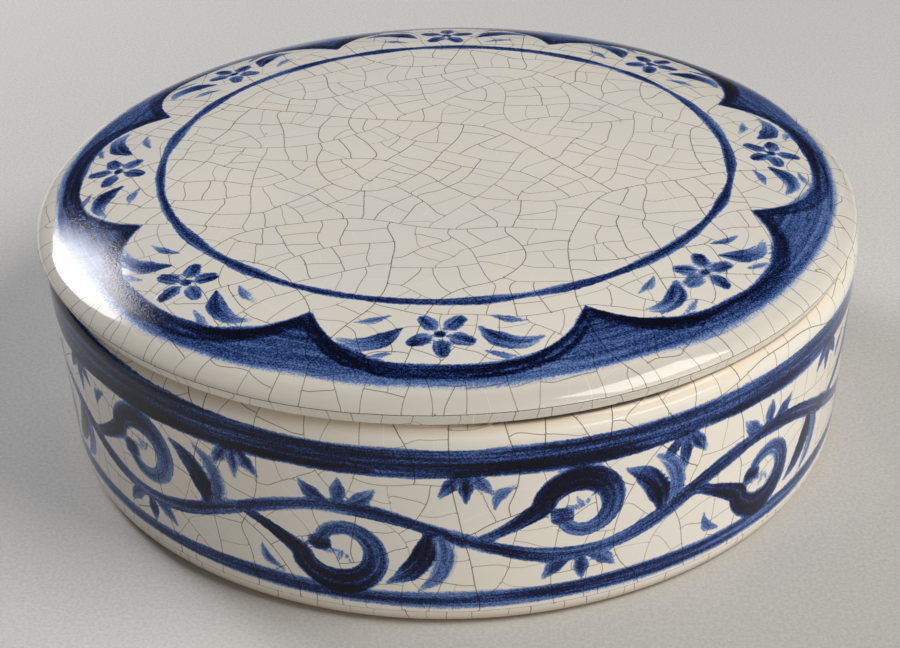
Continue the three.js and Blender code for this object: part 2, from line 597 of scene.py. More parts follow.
class CrackedGrid:
    """The grid of a skin, with vertices moved onto the cracks and triangles that the cracks run along."""

    MOST_MOVE = 0.42
    NONE_NEAR = 9.0
    LEAST_SHARE = 0.12
    EASE_PASSES = 3
    UNFOLD_PASSES = 8
    BESIDE = ((0, 1), (1, 0), (0, -1), (-1, 0), (1, 1), (1, -1), (-1, 1), (-1, -1))

    def __init__(self, skin, cracks):
        self.skin = skin
        self.i, self.j = np.meshgrid(*(np.arange(n, dtype=float) for n in skin.shape), indexing="ij")
        self.number = np.arange(self.i.size).reshape(skin.shape)
        self.tone = np.zeros(skin.shape)
        self.on = np.zeros(skin.shape, bool)
        self.forced = np.zeros(skin.shape, int)
        self.links = {}
        held = skin.frozen()
        for points, tone in cracks:
            self.lay(trace(skin, points), tone, held)
        self.ease(~(self.on | held))
        self.unfold(~held)

    def found(self, i, j):
        """The vertex at a grid place, or nothing outside the grid."""
        columns, rows = self.skin.shape
        if self.skin.period:
            i = i % columns
        return (i, j) if 0 <= i < columns and 0 <= j < rows else None

    def lay(self, path, tone, held):
        """Moves the vertices of one crack onto it, and links them to each other and to older cracks."""
        run = []
        for vertex, place in path:
            here = self.found(*vertex)
            if here is None:
                continue
            run.append((here, self.on[here]))
            if not self.on[here]:
                self.on[here] = True
                self.tone[here] = tone
                if not held[here]:
                    move = np.clip(np.subtract(place, vertex), -self.MOST_MOVE, self.MOST_MOVE)
                    self.i[here] += move[0]
                    self.j[here] += move[1]
        for a, b in zip(run, run[1:]):
            self.link(a[0], b[0], tone)
        mine = {here for here, _ in run}
        for here, joined in run[:1] + run[-1:]:
            if not joined:
                self.join_end(here, mine, tone)

    def beside(self, place):
        """The vertices round one vertex, nearest first."""
        for di, dj in self.BESIDE:
            near = self.found(place[0] + di, place[1] + dj)
            if near is not None:
                yield near

    def join_end(self, end, mine, tone):
        """Links the end of a crack to an older crack that passes by it, at most two vertices away."""
        for near in self.beside(end):
            if self.on[near] and near not in mine:
                self.link(end, near, tone)
                return
        for middle in self.beside(end):
            for near in self.beside(middle):
                if self.on[near] and near not in mine and middle not in mine:
                    self.on[middle] = True
                    self.tone[middle] = tone
                    self.link(end, middle, tone)
                    self.link(middle, near, tone)
                    return

    def link(self, a, b, tone):
        """Notes one step of a crack. A slanting step cuts its quad, or goes round one cut the other way."""
        step = np.subtract(b, a)
        if self.skin.period and abs(step[0]) > 1:
            step[0] = -np.sign(step[0])
        if np.abs(step).max() > 1:
            return
        if step[0] and step[1]:
            quad = (a[0] if step[0] > 0 else b[0], min(a[1], b[1]))
            way = step[0] * step[1]
            if self.forced[quad] == -way:
                corner = (b[0], a[1])
                self.link(a, corner, tone)
                self.link(corner, b, tone)
                return
            self.forced[quad] = way
        ends = sorted((self.number[a], self.number[b]))
        self.links.setdefault(ends[0] * self.i.size + ends[1], tone)

    def ease(self, free):
        """Lets the vertices between cracks follow their moved neighbours half way."""
        for values in (self.i, self.j):
            rest = np.rint(values)
            for _ in range(self.EASE_PASSES):
                move = values - rest
                sides = [np.roll(move, way, axis) for axis in (0, 1) for way in (1, -1)]
                values[free] = rest[free] + sum(sides)[free] / len(sides) / 2

    def unfold(self, free):
        """Pulls vertices back to their grid places where a triangle is folded or squeezed thin."""
        for _ in range(self.UNFOLD_PASSES):
            self.x, self.y = self.skin.flat(self.i, self.j)
            self.triangles = self.cut()
            area = self.area(*self.triangles.T)
            thin = np.zeros(self.i.size, bool)
            thin[self.triangles[area < self.LEAST_SHARE * np.median(area)]] = True
            thin = thin.reshape(self.i.shape) & free
            for values in (self.i, self.j):
                values[thin] = (values[thin] + np.rint(values[thin])) / 2

    def offset(self, start, end):
        """Way from some vertices to others on the flat skin."""
        dx = wrapped(self.x.ravel()[end] - self.x.ravel()[start], self.skin.period)
        return dx, self.y.ravel()[end] - self.y.ravel()[start]

    def area(self, a, b, c):
        bx, by = self.offset(a, b)
        cx, cy = self.offset(a, c)
        return (bx * cy - by * cx) / 2

    def cut(self):
        """Two triangles for each quad, cut along the crack that crosses it, or so that both are full."""
        number = self.number
        forced = self.forced
        if self.skin.period:
            number = np.vstack([number, number[:1]])
        else:
            forced = forced[:-1]
        quads = (number[:-1, :-1], number[1:, :-1], number[1:, 1:], number[:-1, 1:])
        a, b, c, d = (corner.ravel() for corner in quads)
        forced = forced[:, :-1].ravel()
        rising = np.minimum(self.area(a, b, c), self.area(a, c, d))
        falling = np.minimum(self.area(a, b, d), self.area(b, c, d))
        rises = np.where(forced == 0, rising > falling, forced > 0)[:, None]
        first = np.where(rises, np.stack([a, b, c], 1), np.stack([a, b, d], 1))
        second = np.where(rises, np.stack([a, c, d], 1), np.stack([b, c, d], 1))
        return np.concatenate([first, second])

    def side_cracks(self):
        """Along each side of the triangles: distances of the corners from a crack there, and its tone."""
        distance = np.full((3, *self.triangles.shape), self.NONE_NEAR)
        tone = np.zeros((3, len(self.triangles)))
        linked = np.array(sorted(self.links))
        tones = np.array([self.links[key] for key in linked])
        for k in range(3):
            a, b, c = (self.triangles[:, (k + n) % 3] for n in range(3))
            key = np.minimum(a, b) * self.i.size + np.maximum(a, b)
            place = np.searchsorted(linked, key).clip(max=len(linked) - 1)
            rows = np.flatnonzero(linked[place] == key)
            tone[k, rows] = tones[place[rows]]
            length = np.hypot(*self.offset(a[rows], b[rows]))
            distance[k, rows] = 0
            distance[k, rows, (k + 2) % 3] = 2 * self.area(a[rows], b[rows], c[rows]) / length
        return distance, tone

    def corners(self):
        """At each corner: distance to the darkest crack of its triangle, its tone, distance to the second.

        Distances are in widths of the crack's line.
        """
        distance, tone = self.side_cracks()
        order = np.argsort(-np.abs(tone), axis=0)
        every = np.arange(len(self.triangles))
        first, second = (distance[order[k], every] for k in range(2))
        first_tone, second_tone = (tone[order[k], every] for k in range(2))
        second[first_tone * second_tone <= 0] = self.NONE_NEAR
        alone = self.on.ravel()[self.triangles]
        alone &= alone.sum(axis=1, keepdims=True) == 1
        for k in range(3):
            rows = np.flatnonzero(alone[:, k])
            a = self.triangles[rows, k]
            first_tone[rows] = self.tone.ravel()[a]
            for n in range(3):
                first[rows, n] = np.hypot(*self.offset(a, self.triangles[rows, n]))
        first /= CRACK_HALF_WIDTH * (1 + CRACK_WIDENING * np.abs(first_tone[:, None]))
        second /= CRACK_HALF_WIDTH * (1 + CRACK_WIDENING * np.abs(second_tone[:, None]))
        return np.stack([first, np.repeat(first_tone[:, None], 3, axis=1), second], axis=2)


# Brushwork: a stroke's points, and its half-widths and loads of paint at even shares of its length
Stroke = namedtuple("Stroke", "points widths loads")

# A line that goes all the way round: where it is, its mean half-width and load, and how much these change
RoundLine = namedtuple("RoundLine", "at wander half_width swell load drift soft")

CURVE_STEP = 0.35
SLOW_WAVES = (2, 3, 5, 7)
QUICK_WAVES = (9, 13, 17, 23)
ALL_WAVES = SLOW_WAVES + QUICK_WAVES


def smooth(points):
    """A curve through the points, in short steps."""
    points = np.asarray(points, float)
    ends = np.vstack([2 * points[0] - points[1], points, 2 * points[-1] - points[-2]])
    curve = []
    for a, b, c, d in zip(ends, ends[1:], ends[2:], ends[3:]):
        share = np.linspace(0, 1, int(np.linalg.norm(c - b) / CURVE_STEP) + 2, endpoint=False)[:, None]
        bend = (2 * a - 5 * b + 4 * c - d) * share**2 + (3 * b - a - 3 * c + d) * share**3
        curve.append(b + ((c - a) * share + bend) / 2)
    return np.vstack([*curve, points[-1:]])


def wander(angle, rng, waves):
    """A smooth closed wander of about one unit, for lines that go all the way round."""
    total = np.zeros_like(angle)
    for wave in waves:
        total = total + rng.normal() * np.cos(wave * angle + rng.uniform(0, TURN))
    return total / math.sqrt(len(waves))


def towards(angle, direction):
    """1 in a direction, falling to nothing at its sides."""
    return np.clip(np.cos(angle - direction), 0, 1)


def moved(stroke, way=1, shift=0):
    """A stroke shifted along, or mirrored first."""
    return stroke._replace(points=[(shift + way * x, y) for x, y in stroke.points])


class Paint:
    """One coat of brushwork: each vertex's distance from a stroke's edge, and how the stroke runs there."""

    NO_PAINT = 4.0
    REACH = 1.6
    SOFT = 0.4
    RUN_STARTS = 500

    def __init__(self, grid, seed):
        self.x = grid.x.ravel()
        self.y = grid.y.ravel()
        self.period = grid.skin.period
        self.rng = np.random.default_rng(seed)
        self.edge = np.full(self.x.size, self.NO_PAINT)
        self.load = np.zeros(self.x.size)
        self.soft = np.full(self.x.size, self.SOFT)
        self.along = np.zeros(self.x.size)
        self.across = np.zeros(self.x.size)

    def cover(self, where, edge, load, soft, along, across):
        """Lays paint where its edge is nearer than that of the paint already there."""
        new = edge < self.edge[where]
        where = where[new]
        self.edge[where] = edge[new]
        self.load[where] = np.broadcast_to(load, edge.shape)[new]
        self.soft[where] = np.broadcast_to(soft, edge.shape)[new]
        self.along[where] = along[new]
        self.across[where] = across[new]

    def wash(self, edge, load, soft, along, across):
        self.cover(np.arange(self.x.size), edge, load, soft, along, across)

    def round_line(self, line, angle, along, across):
        """A line that goes all the way round, uneven in width and load."""
        away = np.abs(across - line.at - line.wander * wander(angle, self.rng, SLOW_WAVES))
        half = line.half_width * (1 + line.swell * wander(angle, self.rng, ALL_WAVES))
        load = line.load + line.drift * wander(angle, self.rng, SLOW_WAVES)
        self.wash(away - half, load, line.soft, along, across)

    def draw(self, stroke, place=np.asarray, soft=SOFT):
        """A brush stroke, put in its place. A load that is a pair is drawn between the two."""
        loads = [self.rng.uniform(*load) if isinstance(load, tuple) else load for load in stroke.loads]
        curve = smooth(place(stroke.points))
        along = walked(curve)
        share = along / along[-1]
        half = np.interp(share, np.linspace(0, 1, len(stroke.widths)), stroke.widths)
        load = np.interp(share, np.linspace(0, 1, len(loads)), loads)
        middle = curve.mean(axis=0)
        dx = wrapped(self.x - middle[0], self.period)
        dy = self.y - middle[1]
        curve = curve - middle
        reach = half.max() + self.REACH
        low = curve.min(axis=0) - reach
        high = curve.max(axis=0) + reach
        where = np.flatnonzero((dx > low[0]) & (dx < high[0]) & (dy > low[1]) & (dy < high[1]))
        away = np.stack([dx[where], dy[where]], axis=1)[:, None] - curve
        edges = np.linalg.norm(away, axis=2) - half
        best = edges.argmin(axis=1)
        rows = np.arange(len(where))
        heading = np.gradient(curve, axis=0)
        heading /= np.linalg.norm(heading, axis=1, keepdims=True)
        offset = away[rows, best]
        side = heading[best, 0] * offset[:, 1] - heading[best, 1] * offset[:, 0]
        start = self.rng.uniform(0, self.RUN_STARTS)
        self.cover(where, edges[rows, best], load[best], soft, along[best] + start, side)


# Lid design, as distances along the skin from its middle
LID_WASH_SEED = 21
LID_STROKE_SEED = 22
LID_RING = RoundLine(at=51.9, wander=0.2, half_width=0.88, swell=0.3, load=1.05, drift=0.3, soft=0.45)
LID_BAND_OUTER = 71.6
LID_BAND_OUTER_WANDER = 0.3
LID_BAND_OUTER_SOFT = 2.2
LID_BAND_INNER = 67.2
LID_BAND_INNER_WANDER = 0.15
LID_BAND_LOAD = 0.58
LID_BAND_LOAD_DRIFT = 0.1
LID_CUSP = 57.2
LID_CUSP_POWER = 3.2
LID_CUSP_LOAD = 0.45
LID_LOBES = 8
LID_LOBE_TURN = TURN / LID_LOBES
LID_FIRST_LOBE = math.radians(-90)

# Two passes of the brush along each arch: distance from its edge, and range of weights
ARCH_PASSES = ((0.9, (0.8, 1.2)), (2.6, (0.3, 0.7)))
ARCH_SHARE = 0.98
ARCH_POINTS = 17
ARCH_WANDER = 0.12
ARCH_END_WIDTH = 0.4
ARCH_SWELL = (0.7, 1.5, 4)
ARCH_LOADS = (0.35, 1.4, 6)
ARCH_SOFT = 0.5

# A blossom and leaves in each arch, to the sides of its middle line and along it
SPRAY_AT = 60.2
SPRAY_LEAN = 0.015
SPRAY_SIZES = (0.94, 1.04)
PETALS = 5
PETAL_LEAN = 0.08
PETAL_START = 1.5
PETAL_WIDEST = 0.6
PETAL_REACH = (4.3, 4.9)
PETAL_WIDTHS = (0.35, 1.5, 1.1)
PETAL_LOADS = (0.5, 0.7, (0.8, 1.2))
BLOSSOM_EYE = Stroke(((-0.2, 0), (0, 0), (0.2, 0)), (0.8,), (1.3,))
SPRAY_LEAF = Stroke(
    ((6.2, -1.6), (9.5, 1.2), (13.5, 1.8), (17.0, 0.0)), (0.25, 1.8, 1.4, 0.2), (1.1, (0.8, 1.1), 0.5, 0.35)
)
SPRAY_TICK = Stroke(((8.0, -5.0), (10.8, -3.8), (14.0, -3.6)), (0.2, 0.9, 0.2), (0.6, 0.5, 0.3))
SPRAY_SPUR = Stroke(((7.2, 4.0), (9.8, 4.8), (12.4, 5.2)), (0.2, 0.7, 0.2), (0.7, 0.5, 0.35))


def lobe_edge(angle):
    """Inner edge of the lid's border: an arch over each lobe, with a cusp between two of them."""
    share = np.abs((angle - LID_FIRST_LOBE + LID_LOBE_TURN / 2) % LID_LOBE_TURN - LID_LOBE_TURN / 2)
    share = share / (LID_LOBE_TURN / 2)
    return LID_BAND_INNER - (LID_BAND_INNER - LID_CUSP) * share**LID_CUSP_POWER


def lid_wash(grid):
    """The broad border and the thin ring."""
    coat = Paint(grid, LID_WASH_SEED)
    rng = coat.rng
    distance = np.hypot(coat.x, coat.y)
    angle = np.arctan2(coat.y, coat.x)
    inner = lobe_edge(angle) + LID_BAND_INNER_WANDER * wander(angle, rng, QUICK_WAVES)
    outer = LID_BAND_OUTER + LID_BAND_OUTER_WANDER * wander(angle, rng, ALL_WAVES)
    edge = np.maximum(inner - distance, distance - outer)
    soft = np.where(inner - distance > distance - outer, Paint.SOFT, LID_BAND_OUTER_SOFT)
    cusp = np.clip((LID_BAND_INNER - distance) / (LID_BAND_INNER - LID_CUSP), 0, 1)
    load = LID_BAND_LOAD + LID_BAND_LOAD_DRIFT * wander(angle, rng, SLOW_WAVES) + LID_CUSP_LOAD * cusp
    coat.wash(edge, load, soft, angle * LID_BAND_OUTER, distance)
    coat.round_line(LID_RING, angle, angle * LID_RING.at, distance)
    return coat


def lid_strokes(grid):
    """Dark outlines along the arches, and a blossom with two leaves under each of them."""
    coat = Paint(grid, LID_STROKE_SEED)
    for lobe in range(LID_LOBES):
        middle = LID_FIRST_LOBE + lobe * LID_LOBE_TURN
        arch_outline(coat, middle)
        lobe_spray(coat, middle + coat.rng.normal(0, SPRAY_LEAN))
    return coat


def arch_outline(coat, middle):
    """Two passes of a dark brush along an arch, one heavy and one broken."""
    rng = coat.rng
    angle = middle + np.linspace(-ARCH_SHARE, ARCH_SHARE, ARCH_POINTS) * LID_LOBE_TURN / 2
    weights = [rng.uniform(*weight) for _, weight in ARCH_PASSES]
    for (inset, _), weight in zip(ARCH_PASSES, weights):
        distance = lobe_edge(angle) + inset + rng.normal(0, ARCH_WANDER, ARCH_POINTS)
        widths = [ARCH_END_WIDTH, *(weight * rng.uniform(*ARCH_SWELL)), ARCH_END_WIDTH]
        coat.draw(Stroke(around(distance, angle), widths, rng.uniform(*ARCH_LOADS)), soft=ARCH_SOFT)


def lobe_spray(coat, middle):
    """The strokes under an arch, set out along its middle line and turned to their place on the lid."""
    rng = coat.rng
    size = rng.uniform(*SPRAY_SIZES)
    out = np.array([math.cos(middle), math.sin(middle)])
    side = np.array([-out[1], out[0]])

    def place(points):
        points = np.asarray(points, float)
        return points[:, :1] * size * side + (SPRAY_AT + points[:, 1:] * size) * out

    for petal in range(PETALS):
        turn = math.radians(UP + petal * 360 / PETALS) + rng.normal(0, PETAL_LEAN)
        reach = rng.uniform(*PETAL_REACH)
        radii = (PETAL_START, PETAL_WIDEST * reach, reach)
        spread = [(radius * math.cos(turn), radius * math.sin(turn)) for radius in radii]
        coat.draw(Stroke(spread, PETAL_WIDTHS, PETAL_LOADS), place)
    coat.draw(BLOSSOM_EYE, place)
    for way in (-1, 1):
        for stroke in (SPRAY_LEAF, SPRAY_TICK, SPRAY_SPUR):
            coat.draw(moved(stroke, way), place)


# Base design, as heights along the skin from the foot
BASE_WASH_SEED = 31
BASE_STROKE_SEED = 32
BASE_BAND_LOW = 32.8
BASE_BAND_LOW_WANDER = 0.35
BASE_BAND_HIGH = 38.2
BASE_BAND_HIGH_WANDER = 0.15
BASE_BAND_RISE = 4.6
BASE_BAND_RISE_AT = math.radians(180)
# More paint where the band rises on the shaded left, less on the lit right: partly painted shade and painted
# light
BASE_BAND_SHADED_SIDE_LOAD = 0.1
BASE_BAND_LIT_SIDE_THINNING = 0.4
BASE_BAND_LIT_SIDE_AT = math.radians(-10)
BASE_BAND_LOAD = 1.02
BASE_BAND_LOAD_DRIFT = 0.12
BASE_BAND_SOFT = 0.45
BASE_LINE = RoundLine(at=7.7, wander=0.25, half_width=1.5, swell=0.2, load=0.9, drift=0.15, soft=0.8)

# The vine, from where it crosses its middle line
VINE_MIDDLE = 20.4
VINE_SWING = 5.4
VINE_WAVES = 12
VINE_STEP = TURN * WALL_RADIUS / VINE_WAVES
VINE_JITTER = 0.4
STEM_SHARES = (-0.03, 1.03, 14)
STEM_WIDTHS = (1.0, 1.6, 6)
STEM_LOADS = (0.6, 1.3, 6)
VOLUTE_EYE = (VINE_STEP / 2 + 0.4, -3.6)
VOLUTE_POINTS = 22
VOLUTE_START = math.radians(190)
VOLUTE_TURNS = 0.93
VOLUTE_SIZES = (0.95, 1.05)
VOLUTE_RADIUS = 7.2
VOLUTE_CLOSING = 3.6
VOLUTE_TAIL = ((1.2, 1.0), (6.4, -1.0))
VOLUTE_WIDTHS = (0.6, 1.2, 2.0, 2.5, 2.2, 1.5, 1.0)
VOLUTE_DARK = (1.3, 1.8)
VOLUTE_TAIL_LOAD = 0.7
VOLUTE_END_LOADS = (0.8, 0.6, 0.8)
VOLUTE_KNOB = Stroke(((-0.3, 0), (0, 0), (0.3, 0)), (1.7,), ((0.9, 1.3),))
RAY_TURNS = (200, 250, 300)
RAY_RADII = (0.4, 1.6, 2.8)
RAY_WIDTHS = (0.2, 0.5, 0.25)
RAY_LOADS = (0.45, 0.4, 0.3)
DARK_LEAF = Stroke(
    ((4.5, 1.8), (5.2, -3.0), (8.0, -7.2), (11.8, -9.8)), (0.4, 2.1, 1.8, 0.2), (1.0, (1.2, 1.7), 1.0, 0.6)
)
LIGHT_LEAF = Stroke(
    ((3.0, 1.2), (1.8, -3.5), (3.2, -8.0), (6.6, -11.0)), (0.3, 1.6, 1.5, 0.2), (0.8, 0.6, 0.5, 0.4)
)
SPRIG_LEANS = (-6.0, 0.6, 6.4)
SPRIG_RISES = (3.4, 4.6, 3.2)
SPRIG_HEIGHTS = (6.0, 6.2, 6.4)
SPRIG_WIDTHS = (0.4, 1.4, 0.3)
SPRIG_LOADS = (0.9, (0.5, 1.0), 0.45)
VINE_TICK = Stroke(((0, -5.6), (0.8, -8.4), (3.6, -10.2)), (0.2, 1.1, 0.3), (0.5, 0.65, 0.5))
VINE_TICK_BACK = 14.0

# Drops and darker passes at the band
DROP_JITTER = 0.8
DROP_TOP = BASE_BAND_LOW + 0.6
DROP_LEANS = (-2.8, 0, 2.8)
DROP_LENGTHS = (4.4, 6.6, 4.4)
DROP_SIZES = (0.85, 1.1)
DROP_SPREAD = (0.3, 0.9, 1.5)
DROP_WIDTHS = (0.6, 1.2, 0.35)
DROP_LOADS = (0.8, (0.7, 1.2), 0.5)
SHADOW_JITTER = 6
SHADOW_LENGTHS = (20, 34)
SHADOW_POINTS = 6
SHADOW_HEIGHT = BASE_BAND_LOW + 1.0
SHADOW_WANDER = 0.15
SHADOW_WIDTHS = (0.3, 0.9, 0.7, 1.1, 0.4)
SHADOW_LOADS = (0.7, (0.9, 1.5), 0.7)
SHADOW_SOFT = 0.6


def base_wash(grid):
    """The band under the rim and the line above the heel."""
    coat = Paint(grid, BASE_WASH_SEED)
    rng = coat.rng
    angle = coat.x / WALL_RADIUS
    low = BASE_BAND_LOW + BASE_BAND_LOW_WANDER * wander(angle, rng, ALL_WAVES)
    rise = BASE_BAND_RISE * towards(angle, BASE_BAND_RISE_AT) ** 2
    high = BASE_BAND_HIGH + rise + BASE_BAND_HIGH_WANDER * wander(angle, rng, ALL_WAVES)
    # Thinner paint on the lit right, as painted light in part
    thin = BASE_BAND_LIT_SIDE_THINNING * towards(angle, BASE_BAND_LIT_SIDE_AT) ** 2
    drift = BASE_BAND_LOAD_DRIFT * wander(angle, rng, SLOW_WAVES)
    load = BASE_BAND_LOAD + BASE_BAND_SHADED_SIDE_LOAD * rise - thin + drift
    coat.wash(np.maximum(low - coat.y, coat.y - high), load, BASE_BAND_SOFT, coat.x, coat.y)
    coat.round_line(BASE_LINE, angle, coat.x, coat.y)
    return coat


def base_strokes(grid):
    """A leafy vine that swings round the wall, with a volute in each hollow and drops under the band."""
    coat = Paint(grid, BASE_STROKE_SEED)
    for wave in range(VINE_WAVES):
        vine_wave(coat, wave)
        band_drops(coat, wave)
        band_shadow(coat, wave)
    return coat


def vine_wave(coat, wave):
    """Half a swing of the vine. Every second one is turned upside down."""
    rng = coat.rng
    up = 1 if wave % 2 == 0 else -1
    shift = wave * VINE_STEP + rng.normal(0, VINE_JITTER)

    def place(points):
        points = np.asarray(points, float)
        return np.stack([shift + points[:, 0], VINE_MIDDLE + up * points[:, 1]], axis=1)

    share = np.linspace(*STEM_SHARES)
    stem = np.stack([share * VINE_STEP, VINE_SWING * np.sin(HALF_TURN * share)], axis=1)
    coat.draw(Stroke(stem, rng.uniform(*STEM_WIDTHS), rng.uniform(*STEM_LOADS)), place)
    vine_volute(coat, place)
    vine_leaves(coat, place)


def vine_volute(coat, place):
    """A heavy curl in the hollow of the vine, with a round end and three light ticks inside."""
    rng = coat.rng
    share = np.linspace(0, 1, VOLUTE_POINTS)
    radius = rng.uniform(*VOLUTE_SIZES) * (VOLUTE_RADIUS - VOLUTE_CLOSING * share)
    curl = VOLUTE_EYE + around(radius, VOLUTE_START + TURN * VOLUTE_TURNS * share)
    end = curl[-1]
    dark = rng.uniform(*VOLUTE_DARK)
    loads = (VOLUTE_TAIL_LOAD, dark, dark, dark, *VOLUTE_END_LOADS)
    coat.draw(Stroke(np.vstack([*VOLUTE_TAIL, curl]), VOLUTE_WIDTHS, loads), place)
    coat.draw(VOLUTE_KNOB, lambda points: place(end + np.array(points)))
    for turn in np.radians(RAY_TURNS):
        ray = VOLUTE_EYE + around(np.array(RAY_RADII), turn)
        coat.draw(Stroke(ray, RAY_WIDTHS, RAY_LOADS), place)


def vine_leaves(coat, place):
    """A leaf of a dark and a light lobe that hangs from the vine, a sprig of three on top, and a tick."""
    for leaf in (DARK_LEAF, LIGHT_LEAF):
        coat.draw(moved(leaf, -1, VINE_STEP), place)
    foot, middle, tip = SPRIG_HEIGHTS
    for lean, rise in zip(SPRIG_LEANS, SPRIG_RISES):
        top = VINE_STEP / 2 + lean
        sprig = ((VINE_STEP / 2 + lean / 4, foot), (top - lean / 4, middle + rise / 2), (top, tip + rise))
        coat.draw(Stroke(sprig, SPRIG_WIDTHS, SPRIG_LOADS), place)
    coat.draw(moved(VINE_TICK, shift=VINE_STEP / 2 - VINE_TICK_BACK), place)


def band_drops(coat, wave):
    """Three drops hanging from the band where the vine crosses its middle line."""
    rng = coat.rng
    x = wave * VINE_STEP + rng.normal(0, DROP_JITTER)
    for lean, length in zip(DROP_LEANS, DROP_LENGTHS):
        length = length * rng.uniform(*DROP_SIZES)
        heights = np.linspace(DROP_TOP, DROP_TOP - length, len(DROP_SPREAD))
        drop = [(x + lean * spread, height) for spread, height in zip(DROP_SPREAD, heights)]
        coat.draw(Stroke(drop, DROP_WIDTHS, DROP_LOADS))


def band_shadow(coat, wave):
    """A second, darker pass of the brush along part of the band's lower side."""
    rng = coat.rng
    start = wave * VINE_STEP + rng.uniform(-SHADOW_JITTER, SHADOW_JITTER)
    length = rng.uniform(*SHADOW_LENGTHS)
    height = SHADOW_HEIGHT + rng.normal(0, SHADOW_WANDER, SHADOW_POINTS)
    points = np.stack([start + length * np.linspace(0, 1, SHADOW_POINTS), height], axis=1)
    coat.draw(Stroke(points, SHADOW_WIDTHS, SHADOW_LOADS), soft=SHADOW_SOFT)


# Wear and painted shade: where the glaze is stained, bare or grimy, and painted shade at the seam, on the
# lid's rim and at the heel
RIM_STAIN_DEPTH = 3.2
# Stain on the base's rim and painted shade on the lid's rim are strongest at one side
RIM_STAIN_AND_SHADE_LEAST = 0.45
RIM_STAIN_AND_SHADE_AT = math.radians(-95)
# Towards the heel: a warm stain, and bare clay that is wear and painted shade
FOOT_STAIN_AND_SHADE_HEIGHT = 3.6
FOOT_WEAR_AND_SHADE = 0.6
BARE_RING_HEIGHT = 0.35
# Greyer down the lip towards its lower edge
LIP_GREYING_HEIGHT = 2.4
LIP_GREYING = 0.1
# A dark line in the seam and under the lid's lip: painted shade with some grime, dipping lower at one side.
# The seats get grime alone
SEAM_SHADE_AND_GRIME_HEIGHT = 40.36
SEAM_SHADE_AND_GRIME_DIP = 0.4
SEAM_SHADE_AND_GRIME_AT = math.radians(-75)
SEAM_SHADE_AND_GRIME_POWER = 8
SEAM_SHADE_AND_GRIME_FADE = 0.1
SEAT_GRIME = 0.2
# Greyer towards the lid's rim, most at one side: painted shade
LID_RIM_SHADE_START = 69.5
LID_RIM_SHADE_RUN = 3.5
LID_RIM_SHADE = 0.62


def rim_stain_and_shade_share(angle):
    """Stain at the base's rim and painted shade at the lid's rim are strongest at one side."""
    return RIM_STAIN_AND_SHADE_LEAST + (1 - RIM_STAIN_AND_SHADE_LEAST) * towards(angle, RIM_STAIN_AND_SHADE_AT)


def base_wear_and_shade(points):
    """Stain under the rim and at the foot, the bare foot ring and seat with a little grime on the seat, bare
    clay towards the heel that is wear and painted shade, and a dark line in the seam that is painted shade
    with grime.
    """
    x, y, height = points.T
    radius = np.hypot(x, y)
    angle = np.arctan2(y, x)
    on_ring = radius > FOOT_OUTER - FOOT_WIDTH - FOOT_EDGE_ROUND
    rim = np.clip(1 - (RIM_HEIGHT - height) / RIM_STAIN_DEPTH, 0, 1) * rim_stain_and_shade_share(angle)
    low = np.clip(1 - height / FOOT_STAIN_AND_SHADE_HEIGHT, 0, 1)
    bare_and_shade = np.where(height < BARE_RING_HEIGHT, 1, FOOT_WEAR_AND_SHADE * low) * on_ring
    seat = (height > RIM_HEIGHT - SEAM_SHADE_AND_GRIME_FADE) & (radius < SEAT_OUTER + SEAM_SHADE_AND_GRIME_FADE)
    seam = SEAM_SHADE_AND_GRIME_HEIGHT - SEAM_SHADE_AND_GRIME_DIP * towards(angle, SEAM_SHADE_AND_GRIME_AT) ** SEAM_SHADE_AND_GRIME_POWER
    shade_and_grime = np.where(seat, SEAT_GRIME, np.clip((height - seam) / SEAM_SHADE_AND_GRIME_FADE, 0, 1))
    return np.stack([np.maximum(rim, low * on_ring), np.maximum(bare_and_shade, seat), shade_and_grime], axis=1)


def lid_wear_and_shade(points):
    """Painted shade towards the rim, greyer down the lip, and the bare seat with a little grime, with painted
    shade and grime under the lip outside it.
    """
    x, y, height = points.T
    radius = np.hypot(x, y)
    outside = radius > MOUTH_RADIUS
    rim = LID_RIM_SHADE * np.clip((radius - LID_RIM_SHADE_START) / LID_RIM_SHADE_RUN, 0, 1)
    rim = rim * rim_stain_and_shade_share(np.arctan2(y, x))
    lip = LIP_GREYING * np.clip(1 - (height - SEAT_HEIGHT) / LIP_GREYING_HEIGHT, 0, 1) * outside
    under = (height < SEAT_HEIGHT + SEAM_SHADE_AND_GRIME_FADE) & (radius < LIP_INNER - SEAM_SHADE_AND_GRIME_FADE)
    seat = under & outside & (radius < SEAT_OUTER)
    shade_and_grime = under & (radius > SEAT_OUTER)
    return np.stack([np.maximum(rim, lip), seat, shade_and_grime + SEAT_GRIME * seat], axis=1)


# Meshes, with the places of their zones on each piece's own texture map
LID_TOP_UV = np.array((0.425, 0.575))
LID_TOP_UV_SIZE = 0.42
LID_UNDER_UV = np.array((0.84, 0.16))
LID_UNDER_UV_SIZE = 0.155
BASE_INSIDE_UV = np.array((0.15, 0.86))
BASE_UNDER_UV = np.array((0.45, 0.86))
BASE_ROUND_UV_SIZE = 0.13
WALL_STRIPS = 3
WALL_UV_EDGE = 0.01
WALL_UV_WIDTH = 0.8
WALL_UV_HEIGHT = 0.23
WALL_UV_STEP = 0.24


def warp_lid(points):
    """The lid as it sits: a little saddle-shaped and a little to one side."""
    radius = np.hypot(points[:, 0], points[:, 1])
    angle = np.arctan2(points[:, 1], points[:, 0])
    lift = LID_WARP * (radius / LID_RADIUS) ** 2 * np.cos(LID_WARP_WAVES * (angle - LID_WARP_AT))
    return points + np.stack([0 * lift - LID_SHIFT, 0 * lift, lift], axis=1)


